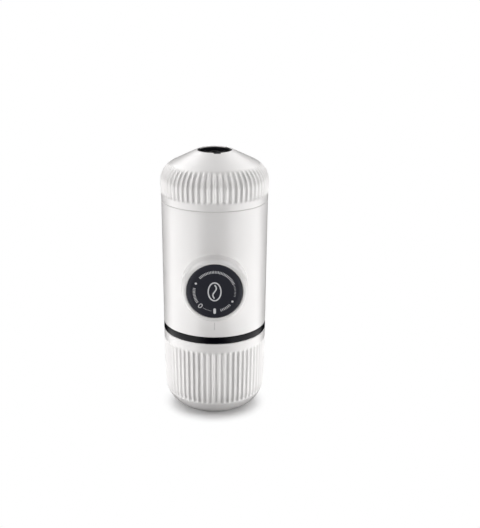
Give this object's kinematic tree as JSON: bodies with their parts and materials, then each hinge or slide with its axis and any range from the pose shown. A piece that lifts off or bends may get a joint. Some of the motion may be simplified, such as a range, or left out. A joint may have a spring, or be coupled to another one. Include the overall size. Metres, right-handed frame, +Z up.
{
  "type": "handheld manual espresso maker",
  "caption": "Slim hand-pumped travel espresso maker: fluted cup over a clear water tank, sleeve with a side piston knob, group head with coffee basket, fluted cap with nozzle.",
  "frame": {"origin": "middle of the flat foot of the drinking cup that the machine stands on", "axes": "+Z up the machine, from the cup to the nozzle; -Y out through the piston knob; +X to the right of someone who faces the knob"},
  "size_m": [0.062, 0.071, 0.156],
  "materials": {
    "white_shell": "satin moulded",
    "black_gloss": "polished",
    "smoke_clear": "clear, smoke tint",
    "black_moulding": "fine satin",
    "knob_black": "satin",
    "grey_moulding": "satin",
    "silicone": "matte",
    "steel": "brushed",
    "scoop_black": "satin",
    "basket_black": "satin"
  },
  "bodies": {
    "cup": {"cup": "white_shell"},
    "tank": {"water_tank": "smoke_clear", "tank_collar": "black_gloss", "tank_gasket": "silicone"},
    "main_body": {"body_shell": "white_shell", "guide_bush": "black_moulding", "tank_socket": "black_moulding", "pump_block": "grey_moulding", "group_head": "black_moulding", "cylinder_liner": "steel", "return_spring": "steel", "inlet_valve": "silicone", "vent_valve": "silicone", "valve_cap": "grey_moulding", "outlet_spring": "steel", "port_seals": "silicone", "block_screws": "steel", "shower_screen": "steel", "screen_screw": "steel", "group_gasket": "silicone"},
    "plunger": {"plunger_rod": "steel", "plunger_head": "grey_moulding", "piston_seals": "silicone", "rod_clip": "steel"},
    "knob": {"piston_sleeve": "black_moulding", "piston_cap": "knob_black"},
    "outlet_valve": {"outlet_poppet": "grey_moulding"},
    "basket": {"filter_basket": "basket_black", "basket_screen": "steel"},
    "scoop": {"scoop": "scoop_black"},
    "head": {"head_shell": "white_shell", "head_liner": "black_moulding", "nozzle": "black_moulding"}
  },
  "joints": [
    {"name": "cup_off", "type": "slide", "parent": "cup", "child": "tank", "axis": [0, 0, 1], "range_m": [0, 0.052]},
    {"name": "tank_off", "type": "slide", "parent": "tank", "child": "main_body", "axis": [0, 0, 1], "range_m": [0, 0.03]},
    {"name": "piston_slide", "type": "slide", "parent": "main_body", "child": "plunger", "axis": [0, -1, 0], "range_m": [0, 0.018], "stiffness_N_per_m": 400, "springref_m": 0.03, "deforming": ["return_spring"]},
    {"name": "knob_turn", "type": "hinge", "parent": "plunger", "child": "knob", "pos_m": [0, -0.0386, 0.08455], "axis": [0, -1, 0], "range_deg": [0, 38]},
    {"name": "outlet_lift", "type": "slide", "parent": "main_body", "child": "outlet_valve", "axis": [0, 0, 1], "range_m": [0, 0.0015], "stiffness_N_per_m": 300, "springref_m": -0.001, "deforming": ["outlet_spring"]},
    {"name": "head_off", "type": "slide", "parent": "main_body", "child": "head", "axis": [0, 0, 1], "range_m": [0, 0.08]},
    {"name": "basket_out", "type": "slide", "parent": "main_body", "child": "basket", "axis": [0, 0, 1], "range_m": [0, 0.04]},
    {"name": "scoop_out", "type": "slide", "parent": "main_body", "child": "scoop", "axis": [0, 0, 1], "range_m": [0, 0.0248]}
  ],
  "couplings": [
    {"joint": "basket_out", "follows": "head_off", "ratio": 0.5},
    {"joint": "scoop_out", "follows": "head_off", "ratio": 0.31}
  ]
}
